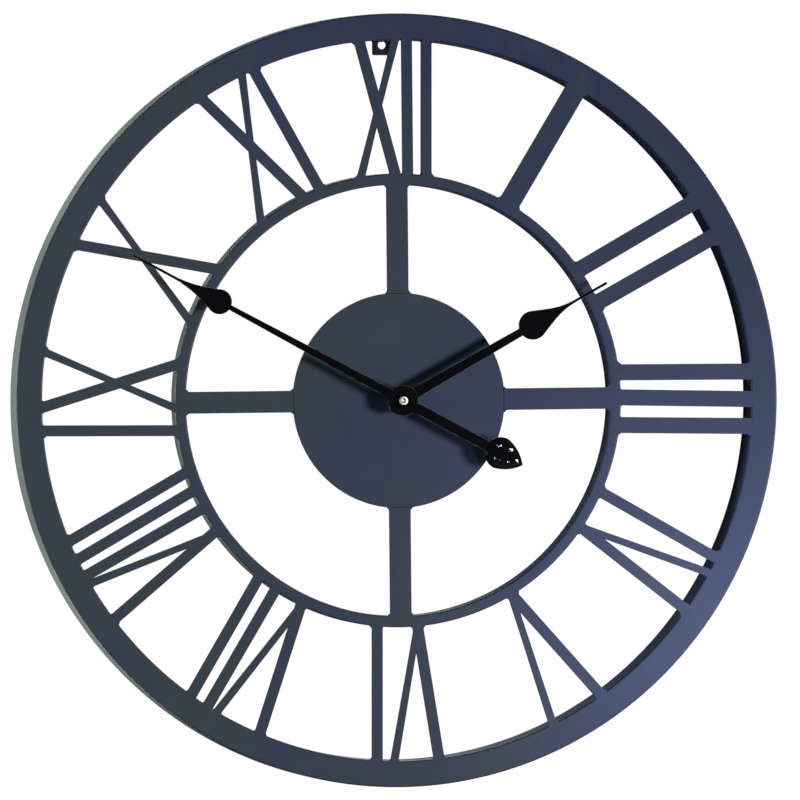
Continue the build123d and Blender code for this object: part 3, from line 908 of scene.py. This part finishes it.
def copper_winding(start, place):
    """Close turns of fine lacquered wire, one beside the other along the coil."""
    turns = waves(start, split(start, place)[0], wire_pitch)
    drift = noise(start, place, 300.0, 3.0)
    return {
        "Base Color": drift.mix((0.52, 0.19, 0.065, 1.0), (0.68, 0.29, 0.11, 1.0)),
        "Metallic": 1.0,
        "Roughness": 0.24 + 0.10 * drift,
        "Normal": bumped(start, turns, 0.35, 0.0001),
    }


def green_laminate(start, place):
    """Solder-masked glass laminate, with the weave of the cloth just showing."""
    across, _, height = split(start, place)
    warp = waves(start, across, weave_pitch)
    weft = waves(start, height, weave_pitch)
    weave = 0.5 + 0.5 * (warp * weft)
    return {
        "Base Color": weave.mix((0.012, 0.105, 0.040, 1.0), (0.020, 0.150, 0.058, 1.0)),
        "Roughness": 0.30 + 0.10 * weave,
        "Normal": bumped(start, weave, 0.10, 0.0001),
    }


def black_resin(start, place):
    """Cast resin with a fine uneven gloss."""
    grain = noise(start, place, 1400.0, 2.0)
    return {
        "Base Color": grain.mix((0.010, 0.010, 0.011, 1.0), (0.020, 0.020, 0.021, 1.0)),
        "Roughness": 0.24 + 0.20 * grain,
        "Normal": bumped(start, grain, 0.15, 0.0001),
    }


def ferrite(start, place):
    """Sintered magnet, grey and granular."""
    grain = noise(start, place, 1800.0, 4.0, 0.7)
    return {
        "Base Color": grain.mix((0.045, 0.045, 0.048, 1.0), (0.14, 0.14, 0.145, 1.0)),
        "Metallic": 0.6,
        "Roughness": 0.45 + 0.25 * grain,
        "Normal": bumped(start, grain, 0.30, 0.0001),
    }


coat_nodes(finish("copper_wire", copper_winding), "motor_coil")
coat_nodes(finish("board_laminate", green_laminate), "circuit_board")
coat_nodes(finish("chip_resin", black_resin), "driver_chip")
coat_nodes(finish("magnet", ferrite), "rotor")

# Gasket: a square of black sheet rubber, die-cut, that keeps the movement from turning on the
# dial plate.


def sheet_rubber(start, place):
    """Matt rubber with a grey bloom in patches."""
    bloom = noise(start, place, 90.0, 4.0)
    grain = noise(start, place, 1500.0, 3.0)
    return {
        "Base Color": bloom.mix((0.011, 0.011, 0.011, 1.0), (0.024, 0.024, 0.023, 1.0)),
        "Roughness": 0.72 + 0.18 * grain,
        "Normal": bumped(start, grain, 0.30, 0.0002),
    }


gasket_rubber = finish("gasket_rubber", sheet_rubber)
eased("gasket_sheet", "rubber_gasket", mould_ease, gasket_rubber, "clock_frame", "gasket_rubber")

# Threaded bush: a brass tube with a flange, moulded into the case. It comes through the dial
# plate, and its outside is threaded for the fixing nut.
tool_feed = 0.00014


def tool_rings(start, place):
    """The distance from the hands' axis, and the fine rings that the lathe tool left round it."""
    across, _, height = split(start, place)
    radius = off_axis(start, across, height)
    return radius, waves(start, radius, tool_feed)


def turned_brass(start, place):
    """Bright turned brass: rings left by the tool, and a faint brown tarnish in the hollows."""
    _, rings = tool_rings(start, place)
    tarnish = noise(start, place, 420.0, 4.0).step(0.48, 0.75)
    return {
        "Base Color": (0.5 * tarnish).mix((0.87, 0.70, 0.38, 1.0), (0.50, 0.33, 0.14, 1.0)),
        "Metallic": 1.0,
        "Roughness": 0.17 + 0.05 * rings + 0.18 * tarnish,
        "Normal": bumped(start, rings, 0.06, 0.00005),
    }


brass = finish("brass", turned_brass)
thread_pitch = 0.00075
thread_depth = 0.00035
thread_steps = 40
bush_bore = 0.0026
bush_radius = 0.0040
flange_radius = 0.0060
bush_low, bush_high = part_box("threaded_bush")
axis_middle = Vector((0.0, 0.0, 0.0))
flange_front, flange_back = (corner.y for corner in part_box("rubber_gasket"))
core = bush_radius - thread_depth
core_profile = [
    (bush_low.y, bush_bore), (bush_low.y, core - thread_depth), (bush_low.y + thread_depth, core),
    (flange_front, core), (flange_front, flange_radius), (flange_back, flange_radius),
    (flange_back, bush_radius), (bush_high.y, bush_radius), (bush_high.y, bush_bore),
]
bush = turned(core_profile, axis_middle, "Y", closed=True)
shown("bush_core", bush, brass, "clock_frame", "brass", "threaded_bush")


def thread_ridge(start, entry, size):
    """A ridge of square section, on edge, wound round the core."""
    height = size["Back"] - size["Front"]
    helix = {
        "Resolution": thread_steps, "Rotations": height / size["Pitch"], "Height": height,
        "Start Radius": size["Core"], "End Radius": size["Core"],
    }
    helix = start.node("GeometryNodeCurveSpiral", sockets=helix)
    ridge = {"Resolution": 4, "Radius": size["Depth"]}
    ridge = start.node("GeometryNodeCurvePrimitiveCircle", sockets=ridge)
    swept = {"Curve": helix, "Profile Curve": ridge, "Fill Caps": True}
    swept = start.node("GeometryNodeCurveToMesh", sockets=swept)
    faceted = {"Geometry": swept, "Shade Smooth": False}
    swept = start.node("GeometryNodeSetShadeSmooth", sockets=faceted)
    return moved(start, swept, upright, Y=size["Back"])


thread_sizes = {
    "Front": bush_low.y + thread_pitch, "Back": flange_front, "Pitch": thread_pitch,
    "Core": core, "Depth": thread_depth,
}
grown("bush_thread", thread_ridge, thread_sizes, brass, "clock_frame", "brass")

# Fixing washer and nut: a plain pressed steel washer and a thin hexagonal brass nut draw the case
# up against the back of the dial plate.
metal_ease = 0.00015
eased("washer_ring", "fixing_washer", metal_ease, steel, "clock_frame", "steel")
nut_low, nut_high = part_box("fixing_nut")
nut_flat = nut_high.z
nut_face = 0.96 * nut_flat
nut_steps = 8
nut_slope = tan(radians(30))


def hexagon_nut(low, high, flat, face_radius, bore):
    """A nut with its corners turned off at both faces, as a cone leaves them."""
    shape = bmesh.new()
    count = 6 * nut_steps
    rings = []
    for level, inward in ((low, 1), (high, -1)):
        inner, face, edge = [], [], []
        for index in range(count):
            turn = 2 * pi * index / count
            reach = flat / cos((turn + pi / 6) % (pi / 3) - pi / 6)
            drop = inward * (reach - face_radius) * nut_slope
            for row, radius, depth in (
                (inner, bore, level), (face, face_radius, level), (edge, reach, level + drop)
            ):
                row.append(shape.verts.new((radius * sin(turn), depth, radius * cos(turn))))
        rings += [inner, face, edge] if inward > 0 else [edge, face, inner]
    for here, there in zip(rings, rings[1:] + rings[:1]):
        banded(shape, here, there)
    bmesh.ops.recalc_face_normals(shape, faces=shape.faces)
    return shape


nut_bore = bush_radius - thread_depth / 2
fixing_nut = hexagon_nut(nut_low.y, nut_high.y, nut_flat, nut_face, nut_bore)
shown("hex_nut", fixing_nut, brass, "clock_frame", "brass", "fixing_nut")

# Hour hand: a spade hand blanked from aluminium sheet and painted satin black, riveted to a brass
# bush that is pushed on the hour wheel's tube.


def satin_black(start, place):
    """Satin paint, rubbed thin along the sharp edges of the sheet."""
    lines = stretched_noise(start, place, (140.0, 900.0, 900.0), 2.0)
    peel = noise(start, place, 700.0, 2.0)
    facing = split(start, start.node("ShaderNodeNewGeometry", output="Normal"))[1]
    facing = start.maths("ABSOLUTE", facing)
    rubbed = facing.step(0.20, 0.45) * (1 - facing.step(0.80, 0.95))
    rubbed = rubbed * noise(start, place, 160.0, 3.0).step(0.35, 0.60)
    paint = peel.mix((0.0012, 0.0015, 0.0022, 1.0), (0.0024, 0.0028, 0.0038, 1.0))
    return {
        "Base Color": rubbed.mix(paint, (0.55, 0.56, 0.58, 1.0)),
        "Metallic": 0.5 * rubbed,
        "Roughness": 0.46 + 0.08 * peel + 0.05 * lines,
        "Specular IOR Level": 0.03,
        "Normal": bumped(start, 0.6 * peel + 0.4 * lines, 0.10, 0.0002),
    }


hand_paint = finish("hand_paint", satin_black)
hand_ease = 0.0002
hour_body = "hour_hand_assembly"
eased("hour_hand_blade", "hour_hand", hand_ease, hand_paint, hour_body, "hand_paint")
eased("hour_hand_collet", "hour_hand_bush", metal_ease, brass, hour_body, "brass")

# Minute hand: the longer spade hand of the same sheet, with a round eye behind the blade and a
# leaf for a tail. A brass bush carries it on the minute shaft.
minute_body = "minute_hand_assembly"
eased("minute_hand_blade", "minute_hand", hand_ease, hand_paint, minute_body, "hand_paint")
eased("minute_hand_collet", "minute_hand_bush", metal_ease, brass, minute_body, "brass")

# Counterweight: a lump of filled resin poured on the tail of the minute hand to balance it, run
# out to the leaf's edge, knobbly on top and enamelled gloss black. knobs and flats give the lumps
# and the flattened spots on it: place along the tail, place across it, and two sizes.


def gloss_black(start, place):
    """Thick black enamel: almost a mirror, with slow waves where it ran."""
    wave = noise(start, place, 160.0, 3.0)
    pinhole = noise(start, place, 1300.0, 2.0).step(0.72, 0.80)
    return {
        "Base Color": wave.mix((0.0022, 0.0024, 0.0036, 1.0), (0.0050, 0.0054, 0.0080, 1.0)),
        "Roughness": 0.05 + 0.05 * wave + 0.2 * pinhole,
        "Specular IOR Level": 0.25,
        "Coat Weight": 0.2,
        "Coat Roughness": 0.03,
        "Normal": bumped(start, wave, 0.25, 0.0008),
    }


enamel = finish("counterweight_enamel", gloss_black)
weight_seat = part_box("counterweight")[1].y
dome_rings = 44
dome_points = 240
ring_crowding = 1.4
side_height = 0.0009
side_start, side_slope = 0.45, 2.4
dome_height = 0.0011
knob_slope = 6
knobs = (
    (0.0815, 0.0052, 0.0024, 0.0006), (0.0908, 0.0064, 0.0022, 0.0006),
    (0.0858, -0.0056, 0.0030, 0.0007), (0.0858, -0.0056, 0.0013, -0.0009),
    (0.0990, 0.0008, 0.0020, 0.0005), (0.0870, 0.0058, 0.0014, 0.0003),
    (0.0920, -0.0050, 0.0018, 0.0003),
)
flats = (
    (0.0813, 0.0039, 0.0010, 0.0006), (0.0843, 0.0051, 0.0014, 0.0007),
    (0.0937, 0.0066, 0.0019, 0.0008), (0.0840, -0.0055, 0.0008, 0.0008),
    (0.1013, 0.0010, 0.0013, 0.0006), (0.0899, 0.0050, 0.0007, 0.0005),
)
flat_fall = Vector((-0.280, 0.042))
flat_run = Vector((0.25, 0.97))


def poured_dome():
    """The resin's skin, in rings from the leaf's edge to the middle."""
    rough = merged("counterweight")
    rim_spots = [Vector((v.co.x, v.co.z)) for v in rough.verts if v.co.y > weight_seat - hair]
    rough.free()
    middle = sum(rim_spots, Vector((0.0, 0.0))) / len(rim_spots)
    tail = middle.normalized()
    across = Vector((-tail.y, tail.x))
    rim_spots.sort(key=lambda spot: atan2(spot.y - middle.y, spot.x - middle.x))
    lengths = [0.0]
    for here, there in zip(rim_spots, rim_spots[1:] + rim_spots[:1]):
        lengths.append(lengths[-1] + (there - here).length)
    outline = []
    for step in range(dome_points):
        wanted = lengths[-1] * step / dome_points
        index = max(place for place, length in enumerate(lengths) if length <= wanted)
        here, there = rim_spots[index], rim_spots[(index + 1) % len(rim_spots)]
        outline.append(here.lerp(there, (wanted - lengths[index]) / (there - here).length))
    skin = []
    for step in range(dome_rings):
        inset = step / dome_rings
        for spot in outline:
            spot = spot.lerp(middle, inset ** ring_crowding)
            rise = side_height * min(1.0, side_start + side_slope * inset)
            rise += dome_height * sin(inset * pi / 2)
            for along, sideways, reach, height in knobs:
                gap = (spot - tail * along - across * sideways).length / reach
                rise += height * exp(-gap * gap) * min(1.0, knob_slope * inset)
            skin.append((spot, rise))
    for along, sideways, length, width in flats:
        heart = tail * along + across * sideways
        level = min(skin, key=lambda near: (near[0] - heart).length)[1]
        for index, (spot, rise) in enumerate(skin):
            offset = spot - heart
            gap = (offset.dot(flat_run) / length) ** 2 + (offset.cross(flat_run) / width) ** 2
            share = exp(-gap * gap)
            skin[index] = (spot, rise * (1 - share) + (level + flat_fall.dot(offset)) * share)
    shape = bmesh.new()
    rings = [[shape.verts.new((spot.x, weight_seat, spot.y)) for spot in outline]]
    for step in range(dome_rings):
        level = skin[step * dome_points:(step + 1) * dome_points]
        points = [(spot.x, weight_seat - rise, spot.y) for spot, rise in level]
        rings.append([shape.verts.new(point) for point in points])
    for low, high in zip(rings, rings[1:]):
        banded(shape, low, high)
    shape.faces.new(rings[0])
    shape.faces.new(rings[-1])
    bmesh.ops.recalc_face_normals(shape, faces=shape.faces)
    return shape


dome = poured_dome()
shown("counterweight_dome", dome, enamel, minute_body, "counterweight_enamel", "counterweight")

# Hand nut: a small turned brass nut, plated pale nickel, that caps the flattened end of the minute
# shaft. It holds the minute hand down, and the shaft's flats leave a gap on each side of it.
cap_low, cap_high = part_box("hand_nut")
cap_front, cap_back, cap_radius = cap_low.y, cap_high.y, cap_high.x
cap_bore = 0.00175
cap_ease = 0.0004
cap_round = 0.3 * cap_ease
# Painted shade for the nut's bore and the shaft inside it, dark as the gaps beside the tongue.
painted_bore_shade = (0.030, 0.024, 0.012, 1.0)


def pale_nickel(start, place):
    """Dull nickel over turned brass: fine rings, and the brass showing warm where it is rubbed."""
    radius, rings = tool_rings(start, place)
    rubbed = noise(start, place, 500.0, 3.0).step(0.50, 0.75)
    # Painted shade: the wall of the bore is darkened.
    painted_shade_mask = 1 - radius.step(cap_bore, cap_bore + cap_ease / 6)
    plating = (0.5 * rubbed).mix((0.97, 0.97, 0.87, 1.0), (0.93, 0.87, 0.66, 1.0))
    return {
        "Base Color": painted_shade_mask.mix(plating, painted_bore_shade),
        "Metallic": 1.0,
        "Roughness": 0.50 + 0.05 * rings + 0.06 * rubbed,
        "Normal": bumped(start, rings, 0.06, 0.00005),
    }


nickel = finish("nickel", pale_nickel)
cap_profile = [
    (cap_back, cap_bore), (cap_back, cap_radius - cap_ease / 2),
    (cap_back - cap_ease / 2, cap_radius), (cap_front + cap_ease, cap_radius),
    (cap_front + cap_round, cap_radius - cap_round),
    (cap_front, cap_radius - cap_ease), (cap_front, cap_bore + cap_ease / 4),
    (cap_front + cap_ease / 4, cap_bore),
]
hand_nut = turned(cap_profile, axis_middle, "Y", closed=True)
shown("hand_nut_turned", hand_nut, nickel, minute_body, "brass", "hand_nut")

# Minute shaft: a turned steel pin whose end is milled to a tongue that turns the minute hand. The
# end is faced bright, and painted shade darkens it inside the nut.
shaft_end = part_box("minute_shaft")[0].y
faced_depth = 0.0001


def faced_steel(start, place):
    """Steel with short tool cuts, with painted shade between its bright end and the back of the
    nut.
    """
    depth = split(start, place)[1]
    # Painted shade: the shaft is darkened where it lies inside the nut.
    painted_shade_mask = depth.step(shaft_end + faced_depth, shaft_end + 2 * faced_depth)
    painted_shade_mask = painted_shade_mask * (1 - depth.step(cap_back - faced_depth, cap_back))
    cuts = noise(start, place, 1500.0, 3.0)
    bright = cuts.mix((0.86, 0.84, 0.74, 1.0), (0.95, 0.93, 0.84, 1.0))
    return {
        "Base Color": painted_shade_mask.mix(bright, painted_bore_shade),
        "Metallic": 1.0,
        "Roughness": 0.46 + 0.12 * cuts,
        "Normal": bumped(start, cuts, 0.08, 0.00005),
    }


coat_nodes(finish("faced_steel", faced_steel), "minute_shaft")

# Studio: a plain pale floor well below the hung clock, a white surround, and soft lamps. The key
# and a small violet lamp stand at the front right, weak panels light the left side, and three soft
# boxes light the back.
floor_height = -2.4
floor_reach = 5.0


def pale_floor(start, place):
    """Matt grey that looks white to the eye but throws little light back."""
    cloud = noise(start, place, 3.0, 3.0)
    seen = start.node("ShaderNodeLightPath", output="Is Camera Ray")
    return {
        "Base Color": cloud.mix((0.28, 0.28, 0.28, 1.0), (0.32, 0.32, 0.32, 1.0)),
        "Roughness": 0.7,
        "Emission Color": seen.mix((0.0, 0.0, 0.0, 1.0), (0.9, 0.9, 0.9, 1.0)),
        "Emission Strength": 1.0,
    }


ground = bmesh.new()
bmesh.ops.create_grid(ground, x_segments=8, y_segments=8, size=floor_reach)
bmesh.ops.translate(ground, verts=ground.verts, vec=(0.0, 0.0, floor_height))
floor_mesh = bpy.data.meshes.new("floor")
ground.to_mesh(floor_mesh)
ground.free()
floor_mesh.materials.append(finish("pale_floor", pale_floor))
floor = bpy.data.objects.new("floor", floor_mesh)
bpy.context.scene.collection.objects.link(floor)

surround_light = 0.01
surround = bpy.data.worlds.new("surround")
bpy.context.scene.world = surround
surround.use_nodes = True
surround.node_tree.nodes.clear()
start = Wire(surround.node_tree)
seen = start.node("ShaderNodeLightPath", output="Is Camera Ray")
strength = surround_light + (1.0 - surround_light) * seen
backdrop = {"Color": (1.0, 1.0, 1.0, 1.0), "Strength": strength}
glow = start.node("ShaderNodeBackground", sockets=backdrop)
start.node("ShaderNodeOutputWorld", sockets={"Surface": glow})
bpy.context.scene.view_settings.view_transform = "Standard"


def lamp(name, spot, aim, size, power, colour, spread=180.0):
    """A soft box, with a grid that narrows its beam, that the camera doesn't see."""
    light = bpy.data.lights.new(name, "AREA")
    light.shape = "RECTANGLE"
    light.size, light.size_y = size
    light.energy = power
    light.color = colour
    light.spread = radians(spread)
    box = bpy.data.objects.new(name, light)
    box.location = spot
    box.rotation_euler = (Vector(aim) - Vector(spot)).to_track_quat("-Z", "Y").to_euler()
    box.visible_camera = False
    bpy.context.scene.collection.objects.link(box)


hub = (0.0, 0.0, 0.0)
white, warm, violet = (1.0, 1.0, 1.0), (1.0, 0.98, 0.96), (0.72, 0.70, 1.0)
pale_green, leaf_green = (0.92, 1.0, 0.84), (0.90, 1.0, 0.74)
lamp("key", (4.85, -5.4, -0.6), hub, (1.6, 1.6), 475.0, warm)
lamp("sheen", (0.55, -1.5, -0.35), (0.25, 0.0, -0.17), (0.06, 0.06), 0.125, violet, 20.0)
lamp("left_edge", (-3.0, -0.55, 0.0), (0.1, 0.0, 0.0), (0.3, 0.9), 0.5, white, 30.0)
lamp("left_fill", (-0.85, -0.14, 0.0), (-0.3, -0.03, 0.0), (0.08, 1.0), 0.36, pale_green, 26.0)
for swing in (-40, 0, 40):
    outwards = Vector((-cos(radians(swing)), 0.0, sin(radians(swing))))
    behind = 0.5 * outwards + Vector((0.0, 0.2, 0.0))
    lamp(f"left_panel_{swing}", behind, 0.3 * outwards, (0.25, 0.3), 0.15, leaf_green, 50.0)
lamp("back_right", (2.3, 2.2, 1.0), hub, (2.2, 2.2), 22.0, white, 60.0)
lamp("back_top", (0.8, 2.0, 2.4), hub, (1.8, 1.8), 10.0, white, 50.0)
lamp("back_low", (1.9, 2.8, -0.9), hub, (2.0, 2.0), 8.0, white, 50.0)

# Camera: a long lens a little to the left of the clock's middle and just above it, far enough
# away for the dial to stay almost round.
view_turn = radians(10.6)
view_rise = radians(0.6)
view_distance = 9.0
view_width = 0.622
sensor_width = 36.0
sideways = 0.0063
level = cos(view_rise)
toward = Vector((-sin(view_turn) * level, -cos(view_turn) * level, sin(view_rise)))
right = Vector((cos(view_turn), -sin(view_turn), 0.0))
target = right * sideways
lens = bpy.data.cameras.new("camera")
lens.sensor_width = sensor_width
lens.lens = sensor_width * view_distance / view_width
lens.clip_end = 100.0
camera = bpy.data.objects.new("camera", lens)
camera.location = target + toward * view_distance
camera.rotation_euler = (-toward).to_track_quat("-Z", "Y").to_euler()
bpy.context.scene.collection.objects.link(camera)
bpy.context.scene.camera = camera
